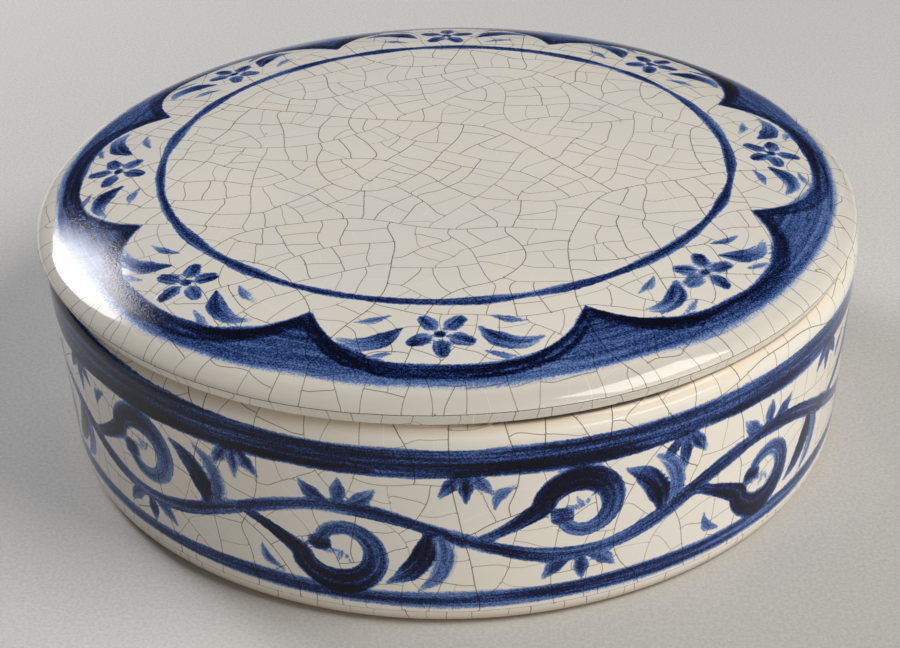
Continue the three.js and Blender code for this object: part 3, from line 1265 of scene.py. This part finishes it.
def warp_base(points):
    """The base as it was thrown, a little out of round."""
    radius = np.hypot(points[:, 0], points[:, 1])
    angle = np.arctan2(points[:, 1], points[:, 0])
    wave = np.cos(BASE_WARP_WAVES * angle + BASE_WARP_START)
    grow = 1 + BASE_OUT_OF_ROUND / RIM_RADIUS * wave * (radius > 0)
    return points * np.stack([grow, grow, np.ones_like(grow)], axis=1)


class Shell:
    """Vertices and faces of one piece, added zone by zone from the grid of its outer skin."""

    def __init__(self, grid, grid_uv):
        self.grid = grid
        self.points = []
        self.faces = grid.triangles.tolist()
        self.flat = []
        self.uv = [grid_uv]
        self.count = 0
        flat = np.stack([grid.x.ravel(), grid.y.ravel()], axis=1)
        self.add(grid.skin.solid(grid.i, grid.j).reshape(-1, 3), flat)

    def add(self, points, flat):
        first = self.count
        self.points.append(points)
        self.flat.append(flat)
        self.count += len(points)
        return first

    def rings(self, edge, angles, profile, faces_up, uv_middle, uv_size):
        """Rings of a profile joined to an edge that is already there, closed with a fan at the axis."""
        far = walked(profile)
        rest = far[-1] + profile[-1, 0] - far
        scale = uv_size / rest[0]
        circle = around(1, angles)
        last = np.asarray(edge)
        last_uv = uv_middle + uv_size * circle
        for (radius, height), flat_radius in zip(profile[1:], rest[1:]):
            points = np.column_stack([radius * circle, np.full(len(angles), height)])
            ring = self.add(points, flat_radius * circle) + np.arange(len(angles))
            ring_uv = uv_middle + scale * flat_radius * circle
            self.strip(last, ring, last_uv, ring_uv, faces_up)
            last = ring
            last_uv = ring_uv
        middle = self.add(np.array([[0, 0, profile[-1, 1]]]), np.zeros((1, 2)))
        middle_uv = np.tile(uv_middle, (len(angles), 1))
        self.strip(last, np.full(len(angles), middle), last_uv, middle_uv, faces_up)

    def strip(self, outer, inner, outer_uv, inner_uv, faces_up):
        """Faces between two rings, or between a ring and the axis, with their corners on the texture map."""
        corners = [outer, np.roll(outer, -1), np.roll(inner, -1), inner]
        uv = [outer_uv, np.roll(outer_uv, -1, axis=0), np.roll(inner_uv, -1, axis=0), inner_uv]
        if inner[0] == inner[-1]:
            del corners[2], uv[2]
        if not faces_up:
            corners = corners[::-1]
            uv = uv[::-1]
        self.faces.extend(np.stack(corners, axis=1).tolist())
        self.uv.append(np.stack(uv, axis=1).reshape(-1, 2))

    def mesh(self, name, warp):
        """The finished mesh, with the places of all corners on its texture map."""
        mesh = bpy.data.meshes.new(name)
        points = warp(np.concatenate(self.points)) * MM
        mesh.from_pydata(points.tolist(), [], self.faces)
        mesh.polygons.foreach_set("use_smooth", np.ones(len(mesh.polygons), bool))
        uv = np.concatenate(self.uv).astype(np.float32)
        mesh.uv_layers.new(name="OFBake").uv.foreach_set("vector", uv.ravel())
        return mesh

    def write(self, mesh, name, columns, domain="POINT"):
        """A named value of up to three numbers at each vertex or corner. Those not given are nothing."""
        columns = np.asarray(columns, np.float32)
        count = self.count if domain == "POINT" else len(mesh.loops)
        whole = np.zeros((count, 3), np.float32)
        whole[: len(columns), : columns.shape[1]] = columns
        mesh.attributes.new(name, "FLOAT_VECTOR", domain).data.foreach_set("vector", whole.ravel())

    def write_looks(self, mesh, wash, strokes, wear_and_shade):
        """What the glaze material reads at each vertex, and the cracks at each corner."""
        hidden = np.arange(self.count) >= self.grid.i.size
        nothing = np.zeros(hidden.sum())
        self.write(mesh, "sheet", np.column_stack([np.concatenate(self.flat), hidden]))
        self.write(mesh, "crack", self.grid.corners().reshape(-1, 3), "CORNER")
        for name, coat in (("wash", wash), ("strokes", strokes)):
            edge = np.r_[coat.edge, nothing + Paint.NO_PAINT]
            load = np.r_[coat.load, nothing]
            soft = np.r_[coat.soft, nothing + Paint.SOFT]
            self.write(mesh, name, np.stack([edge, load, soft], axis=1))
            self.write(mesh, name + "_run", np.stack([coat.along, coat.across], axis=1))
        # Stain, bare clay and grime, with painted shade in the seam, on the lid's rim and at the heel
        self.write(mesh, "wear_and_shade", wear_and_shade(np.concatenate(self.points)))


def lid_mesh():
    skin = DiscSkin(lid_outside(), LID_RINGS)
    grid = CrackedGrid(skin, lid_cracks(skin))
    flat = np.stack([grid.x.ravel(), grid.y.ravel()], axis=1)
    uv = LID_TOP_UV + flat * LID_TOP_UV_SIZE / skin.length
    shell = Shell(grid, uv[grid.triangles.ravel()])
    edge = grid.number[skin.frozen()]
    angles = np.arctan2(flat[edge, 1], flat[edge, 0])
    order = np.argsort(angles)
    shell.rings(edge[order], angles[order], lid_underside(), False, LID_UNDER_UV, LID_UNDER_UV_SIZE)
    mesh = shell.mesh("lid_skin", warp_lid)
    shell.write_looks(mesh, lid_wash(grid), lid_strokes(grid), lid_wear_and_shade)
    return mesh


def base_mesh():
    skin = BandSkin(base_outside(), BASE_COLUMNS, BASE_ROWS)
    grid = CrackedGrid(skin, base_cracks(skin))
    shell = Shell(grid, wall_uv(grid))
    angles = TURN * np.arange(BASE_COLUMNS) / BASE_COLUMNS
    shell.rings(grid.number[:, -1], angles, base_inside(), True, BASE_INSIDE_UV, BASE_ROUND_UV_SIZE)
    shell.rings(grid.number[:, 0], angles, base_underside(), False, BASE_UNDER_UV, BASE_ROUND_UV_SIZE)
    mesh = shell.mesh("base_skin", warp_base)
    shell.write_looks(mesh, base_wash(grid), base_strokes(grid), base_wear_and_shade)
    return mesh


def wall_uv(grid):
    """The wall's place on the texture map: strips of even length, one above the other."""
    skin = grid.skin
    columns, rows = skin.shape
    quad = np.arange(len(grid.triangles)) % (columns * (rows - 1)) // (rows - 1)
    strip = quad * WALL_STRIPS // columns
    x = grid.x.ravel()[grid.triangles] / skin.period
    y = grid.y.ravel()[grid.triangles] / skin.length
    x = np.where(quad[:, None] - x * columns > columns / 2, x + 1, x)
    u = WALL_UV_EDGE + (x * WALL_STRIPS - strip[:, None]) * WALL_UV_WIDTH
    v = WALL_UV_EDGE + strip[:, None] * WALL_UV_STEP + y * WALL_UV_HEIGHT
    return np.stack([u, v], axis=2).reshape(-1, 2)


# Materials


class Graph:
    """Short calls that add shader nodes to a material and join them."""

    MIX_A = 6
    MIX_B = 7
    MIX_RESULT = 2

    def __init__(self, name):
        self.material = bpy.data.materials.new(name)
        self.material.use_nodes = True
        self.nodes = self.material.node_tree.nodes
        self.links = self.material.node_tree.links
        self.shader = self.nodes["Principled BSDF"]

    def put(self, socket, value):
        if isinstance(value, bpy.types.NodeSocket):
            self.links.new(value, socket)
        else:
            socket.default_value = value

    def set(self, name, value):
        self.put(self.shader.inputs[name], value)

    def node(self, kind, inputs, **settings):
        node = self.nodes.new(kind)
        for name, value in settings.items():
            setattr(node, name, value)
        for name, value in inputs.items():
            self.put(node.inputs[name], value)
        return node

    def math(self, operation, a, b):
        return self.node("ShaderNodeMath", {0: a, 1: b}, operation=operation).outputs[0]

    def add(self, a, b):
        return self.math("ADD", a, b)

    def times(self, a, b):
        return self.math("MULTIPLY", a, b)

    def remap(self, value, from_low, from_high, to_low=0.0, to_high=1.0):
        """A smooth step between two values."""
        inputs = {"Value": value, 1: from_low, 2: from_high, 3: to_low, 4: to_high}
        return self.node("ShaderNodeMapRange", inputs, interpolation_type="SMOOTHSTEP").outputs[0]

    def place(self):
        return self.node("ShaderNodeTexCoord", {}).outputs["Object"]

    def vector(self, name):
        """The three numbers kept at each vertex or corner under a name."""
        return self.node("ShaderNodeAttribute", {}, attribute_name=name).outputs["Vector"]

    def values(self, name):
        return self.node("ShaderNodeSeparateXYZ", {0: self.vector(name)}).outputs

    def noise(self, vector, scale, detail, roughness):
        inputs = {"Vector": vector, "Scale": scale, "Detail": detail, "Roughness": roughness}
        return self.node("ShaderNodeTexNoise", inputs).outputs["Fac"]

    def cells(self, vector, scale, feature):
        inputs = {"Vector": vector, "Scale": scale}
        return self.node("ShaderNodeTexVoronoi", inputs, feature=feature, voronoi_dimensions="2D").outputs

    def blend(self, share, a, b, kind="MIX"):
        node = self.node("ShaderNodeMix", {"Factor": share}, data_type="RGBA", blend_type=kind)
        self.put(node.inputs[self.MIX_A], a)
        self.put(node.inputs[self.MIX_B], b)
        return node.outputs[self.MIX_RESULT]

    def ramp(self, value, stops):
        node = self.node("ShaderNodeValToRGB", {0: value})
        elements = node.color_ramp.elements
        for spare in list(elements)[1:]:
            elements.remove(spare)
        for place, colour in stops:
            stop = elements[0] if place == stops[0][0] else elements.new(place)
            stop.position = place
            stop.color = colour
        return node.outputs[0]


MOST_TINT = 255
SRGB_TOE = 0.04045
SRGB_TOE_SLOPE = 12.92
SRGB_OFFSET = 0.055
SRGB_POWER = 2.4


def tint(red, green, blue):
    """Linear colour from the usual 0 to 255 values, by the sRGB rule."""
    share = np.array([red, green, blue]) / MOST_TINT
    curve = ((share + SRGB_OFFSET) / (1 + SRGB_OFFSET)) ** SRGB_POWER
    linear = np.where(share <= SRGB_TOE, share / SRGB_TOE_SLOPE, curve)
    return (*linear.tolist(), 1.0)


CREAM = tint(232, 226, 215)
CREAM_WARM = tint(231, 220, 203)
CREAM_GREY = tint(225, 221, 213)
RIM_WARM = tint(228, 206, 176)
# Grey for the painted shade on the lid's rim and the greying down its lip
LID_RIM_SHADE_GREY = tint(197, 191, 182)
CRACK_STAIN = tint(118, 110, 100)
CRACK_PALE = tint(242, 238, 230)
# Dark brown for the painted shade in the seam and under the lid's lip, and for the grime on the seats
SEAM_SHADE_AND_GRIME = tint(64, 52, 39)
BARE_CLAY = tint(150, 128, 104)
PINHOLE = tint(58, 50, 44)
PAPER_DARK = tint(200, 198, 195)
PAPER_LIGHT = tint(217, 215, 212)

# Cobalt from thin to thick, as shares of the most paint
MOST_PAINT = 1.6
COBALT = (
    (0.0, tint(160, 176, 204)),
    (0.12, tint(128, 152, 194)),
    (0.26, tint(92, 119, 172)),
    (0.4, tint(57, 82, 140)),
    (0.52, tint(34, 56, 109)),
    (0.66, tint(18, 36, 82)),
    (0.82, tint(10, 20, 53)),
    (1.0, tint(8, 10, 27)),
)

# Noises: scale, detail and roughness
EDGE_NOISE = (1100.0, 2.0, 0.6)
GRAIN_NOISE = (3400.0, 1.0, 0.5)
BLEED_NOISE = (90.0, 1.0, 0.5)
STREAK_NOISE = (1.0, 3.0, 0.65)
WAVE_NOISE = (220.0, 1.0, 0.5)
DRIFT_NOISE = (22.0, 2.0, 0.5)
PATCH_NOISE = (70.0, 2.0, 0.5)
PAPER_NOISE = (1500.0, 3.0, 0.75)
NOISE_MIDDLE = 0.5
NOISE_SPREAD = (0.3, 0.7)

# Steps from one value to another: where they start and end, then what they give there
COVER_STEP = (0.5, -0.5)
DEPTH_STEP = (0.1, -1.2, 0.72, 1.12)
BLEED_STEP = (0.45, 0.68, 0.0, 0.9)
STAIN_STEP = (0.1, 1.0, 0.0, 0.8)
SHOWN_STEP = (0.02, 0.3)
DRIFT_STEP = (0.35, 0.65)
PATCH_STEP = (0.5, 0.75, 0.0, 0.5)
CRACK_STEP = (0.4, 1.0, 1.0, 0.0)
HIDDEN_CRACK_STEP = (0.004, 0.014, 1.0, 0.0)
PINHOLE_STEP = (0.006, 0.014, 0.8, 0.0)

# Paint and glaze
EDGE_RAGGEDNESS = 0.5
STREAK_STRETCH = (0.035, 0.9, 1.0)
STROKE_STREAKS = (0.5, 1.4)
LID_WASH_STREAKS = (0.65, 1.3)
BASE_GRAIN = (0.7, 1.3)
LID_GRAIN = (0.66, 1.34)
BASE_GLAZE_IOR = 1.3
LID_GLAZE_IOR = 1.42
GLAZE_ROUGHNESS = 0.07
PAINT_ROUGHNESS = 0.1
CLAY_ROUGHNESS = 0.8
# How dark the painted seam shade and grime get at most
SHADE_AND_GRIME_COVER = 0.85
WAVE_HEIGHT = 0.018
GRAIN_HEIGHT = 0.022
CRACK_DEPTH = 0.003
PALE_CRACK_STRENGTH = 1.5
HIDDEN_CRACK_CELLS = 0.14
HIDDEN_CRACK_TONE = 0.5
PINHOLE_CELLS = 0.06
PINHOLE_RARITY = 0.85
PAPER_ROUGHNESS = 0.85
PAPER_SPECULAR = 0.2


def paint_amount(graph, coat, edge_noise, bleed, streaks):
    """How much cobalt a coat leaves: ragged edges, streaks along the stroke and more of it in the middle."""
    edge, load, soft = graph.values(coat)
    ragged = graph.add(edge, graph.times(edge_noise, EDGE_RAGGEDNESS))
    share = graph.math("DIVIDE", ragged, graph.add(soft, bleed))
    cover = graph.remap(share, *COVER_STEP)
    inputs = {0: graph.vector(coat + "_run"), 1: STREAK_STRETCH}
    stretched = graph.node("ShaderNodeVectorMath", inputs, operation="MULTIPLY").outputs[0]
    streak = graph.remap(graph.noise(stretched, *STREAK_NOISE), *NOISE_SPREAD, *streaks)
    depth = graph.remap(edge, *DEPTH_STEP)
    return graph.times(cover, graph.times(graph.times(load, streak), depth))


def glaze(name, ior, stain_and_shade, grain_range, wash_streaks):
    """Glossy cream glaze over cobalt, with stained cracks, a worn rim and a bare foot, and painted shade in
    the seam, on the lid's rim and at the heel.
    """
    graph = Graph(name)
    place = graph.place()
    # Stain and painted shade, bare clay with painted shade at the heel, and painted shade with grime in the
    # seam
    wear_and_shade, bare_and_shade, shade_and_grime = graph.values("wear_and_shade")
    edge_noise = graph.math("SUBTRACT", graph.noise(place, *EDGE_NOISE), NOISE_MIDDLE)
    grain = graph.noise(place, *GRAIN_NOISE)
    bleed = graph.remap(graph.noise(place, *BLEED_NOISE), *BLEED_STEP)
    wash = paint_amount(graph, "wash", edge_noise, bleed, wash_streaks)
    strokes = paint_amount(graph, "strokes", edge_noise, bleed, STROKE_STREAKS)
    amount = graph.times(graph.add(wash, strokes), graph.remap(grain, *NOISE_SPREAD, *grain_range))
    shown = graph.remap(amount, *SHOWN_STEP)
    dark, pale = crack_lines(graph)
    # Stain on the base's rim and foot; on the lid, painted shade towards the rim and greying down the lip
    colour = graph.blend(graph.remap(wear_and_shade, *STAIN_STEP), cream(graph, place), stain_and_shade)
    colour = graph.blend(pale, colour, CRACK_PALE)
    colour = graph.blend(shown, colour, graph.ramp(graph.math("DIVIDE", amount, MOST_PAINT), COBALT))
    colour = graph.blend(dark, colour, CRACK_STAIN, "MULTIPLY")
    colour = graph.blend(pinholes(graph), colour, PINHOLE)
    # Bare clay on the foot and seat, fading up the heel as wear and painted shade
    colour = graph.blend(bare_and_shade, colour, BARE_CLAY)
    # Painted shade in the seam and under the lid's lip, with grime on the seats
    colour = graph.blend(graph.times(shade_and_grime, SHADE_AND_GRIME_COVER), colour, SEAM_SHADE_AND_GRIME)
    graph.set("Base Color", colour)
    rough = graph.remap(shown, 0.0, 1.0, GLAZE_ROUGHNESS, PAINT_ROUGHNESS)
    clay_rough = graph.remap(bare_and_shade, 0.0, 1.0, GLAZE_ROUGHNESS, CLAY_ROUGHNESS)
    graph.set("Roughness", graph.math("MAXIMUM", rough, clay_rough))
    graph.set("IOR", ior)
    height = graph.times(graph.noise(place, *WAVE_NOISE), WAVE_HEIGHT)
    height = graph.add(height, graph.times(graph.times(grain, shown), GRAIN_HEIGHT))
    height = graph.math("SUBTRACT", height, graph.times(dark, CRACK_DEPTH))
    bump = graph.node("ShaderNodeBump", {"Height": height, "Distance": MM, "Strength": 1.0})
    graph.set("Normal", bump.outputs[0])
    return graph.material


def pinholes(graph):
    """A few dark specks where the glaze did not close."""
    cell = graph.cells(graph.vector("sheet"), PINHOLE_CELLS, "F1")
    chance = graph.node("ShaderNodeSeparateColor", {0: cell["Color"]}).outputs[0]
    speck = graph.remap(cell["Distance"], *PINHOLE_STEP)
    return graph.times(speck, graph.math("GREATER_THAN", chance, PINHOLE_RARITY))


def crack_lines(graph):
    """Share of dark stain and of pale hairline in the cracks. Hidden sides have a plain crackle."""
    first, tone, second = graph.values("crack")
    away = graph.math("MINIMUM", first, second)
    hidden = graph.values("sheet")[2]
    cell = graph.cells(graph.vector("sheet"), HIDDEN_CRACK_CELLS, "DISTANCE_TO_EDGE")["Distance"]
    plain = graph.times(graph.remap(cell, *HIDDEN_CRACK_STEP), graph.times(hidden, HIDDEN_CRACK_TONE))
    line = graph.times(graph.remap(away, *CRACK_STEP), graph.math("SUBTRACT", 1.0, hidden))
    dark = graph.math("MAXIMUM", graph.times(line, tone), plain)
    pale = graph.math("MAXIMUM", graph.times(line, graph.times(tone, -PALE_CRACK_STRENGTH)), 0.0)
    return dark, pale


def cream(graph, place):
    """Cream glaze that drifts between warmer and greyer patches."""
    drift = graph.remap(graph.noise(place, *DRIFT_NOISE), *DRIFT_STEP)
    patch = graph.remap(graph.noise(place, *PATCH_NOISE), *PATCH_STEP)
    return graph.blend(patch, graph.blend(drift, CREAM_GREY, CREAM), CREAM_WARM)


def floor_paper():
    """Pale grey paper with a faint grain."""
    graph = Graph("floor_paper")
    mottle = graph.remap(graph.noise(graph.place(), *PAPER_NOISE), *NOISE_SPREAD)
    graph.set("Base Color", graph.blend(mottle, PAPER_DARK, PAPER_LIGHT))
    graph.set("Roughness", PAPER_ROUGHNESS)
    graph.set("Specular IOR Level", PAPER_SPECULAR)
    return graph.material


# The two pieces


def place_piece(name, mesh, material, body, node):
    piece = bpy.data.objects.new(name, mesh)
    bpy.context.scene.collection.objects.link(piece)
    mesh.materials.append(material)
    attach(piece, body)
    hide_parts(node)


# The lid's grey is painted shade on its rim and a greying down its lip; the base's warm tone is a stain
base_glaze = glaze("base_crackle_glaze", BASE_GLAZE_IOR, RIM_WARM, BASE_GRAIN, STROKE_STREAKS)
lid_glaze = glaze("lid_crackle_glaze", LID_GLAZE_IOR, LID_RIM_SHADE_GREY, LID_GRAIN, LID_WASH_STREAKS)
place_piece("glazed_base", base_mesh(), base_glaze, "base", "box_base")
place_piece("glazed_lid", lid_mesh(), lid_glaze, "lid", "lid")


# Stage, lamps and camera, in metres and degrees

FLOOR_HALF = 2.5
LAMP_DISTANCE = 0.9
LAMP_AIM = Vector((0, 0, LID_TOP / 2 * MM))
WORLD_LIGHT = 0.05
WHITE = (1.0, 1.0, 1.0, 1.0)
COOL_LIGHT = (0.95, 0.965, 1.0)
WARM_LIGHT = (1.0, 0.975, 0.93)
WARMER_LIGHT = (1.0, 0.95, 0.87)

# Softboxes: name, shape, azimuth, elevation, width, height, roll, radiance and colour
SOFTBOXES = (
    ("back_left_core", "ELLIPSE", 141.4, 30.3, 0.21, 0.4, -21, 10.5, COOL_LIGHT),
    ("back_left_panel", "RECTANGLE", 133.4, 30.7, 0.253, 0.317, 28, 12.0, COOL_LIGHT),
    ("right_key", "RECTANGLE", -26, 48, 0.5, 0.38, 0, 9.0, WARM_LIGHT),
    ("low_right_panel", "RECTANGLE", -42, 7, 0.6, 0.1, 0, 9.7, WARM_LIGHT),
    ("front_fill", "RECTANGLE", -78, 8, 1.0, 0.25, 0, 1.65, WARMER_LIGHT),
)

CAMERA_AT = (0, -0.31692, 0.20621)
CAMERA_AIM = (-0.00066, 0, 0.01402)
CAMERA_ROLL = -1.419
CAMERA_LENS = 76.685
CAMERA_SENSOR = 36
CAMERA_NEAR = 0.01


def add_floor():
    mesh = bpy.data.meshes.new("floor")
    corners = [(x * FLOOR_HALF, y * FLOOR_HALF, 0) for x, y in ((-1, -1), (1, -1), (1, 1), (-1, 1))]
    mesh.from_pydata(corners, [], [(0, 1, 2, 3)])
    mesh.materials.append(floor_paper())
    floor = bpy.data.objects.new("floor", mesh)
    bpy.context.scene.collection.objects.link(floor)


def rolled(aim, degrees):
    """A turn that aims along a direction, with a roll about it."""
    return aim.to_matrix().to_4x4() @ Matrix.Rotation(math.radians(degrees), 4, "Z")


def add_softbox(name, shape, azimuth, elevation, width, height, roll, radiance, colour):
    """A lamp that is a flat panel aimed at the box. Its power follows from how bright the panel looks."""
    lamp = bpy.data.lights.new(name, "AREA")
    lamp.shape = shape
    lamp.size = width
    lamp.size_y = height
    area = width * height * (math.pi / 4 if shape == "ELLIPSE" else 1)
    lamp.energy = radiance * math.pi * area
    lamp.color = colour
    bearing = math.radians(azimuth)
    up = math.radians(elevation)
    way = Vector((math.cos(bearing) * math.cos(up), math.sin(bearing) * math.cos(up), math.sin(up)))
    box = bpy.data.objects.new(name, lamp)
    place = Matrix.Translation(way * LAMP_DISTANCE + LAMP_AIM)
    box.matrix_world = place @ rolled(way.to_track_quat("Z", "Y"), roll)
    bpy.context.scene.collection.objects.link(box)


def add_world():
    """A faint even light from all sides."""
    world = bpy.data.worlds.new("studio")
    bpy.context.scene.world = world
    world.use_nodes = True
    background = world.node_tree.nodes["Background"]
    background.inputs["Color"].default_value = WHITE
    background.inputs["Strength"].default_value = WORLD_LIGHT


def add_camera():
    data = bpy.data.cameras.new("camera")
    data.lens = CAMERA_LENS
    data.sensor_width = CAMERA_SENSOR
    data.clip_start = CAMERA_NEAR
    camera = bpy.data.objects.new("camera", data)
    forward = Vector(CAMERA_AIM) - Vector(CAMERA_AT)
    aim = rolled(forward.to_track_quat("-Z", "Y"), CAMERA_ROLL)
    camera.matrix_world = Matrix.Translation(CAMERA_AT) @ aim
    bpy.context.scene.collection.objects.link(camera)
    bpy.context.scene.camera = camera


add_floor()
for softbox in SOFTBOXES:
    add_softbox(*softbox)
add_world()
add_camera()
bpy.context.scene.view_settings.view_transform = "Standard"
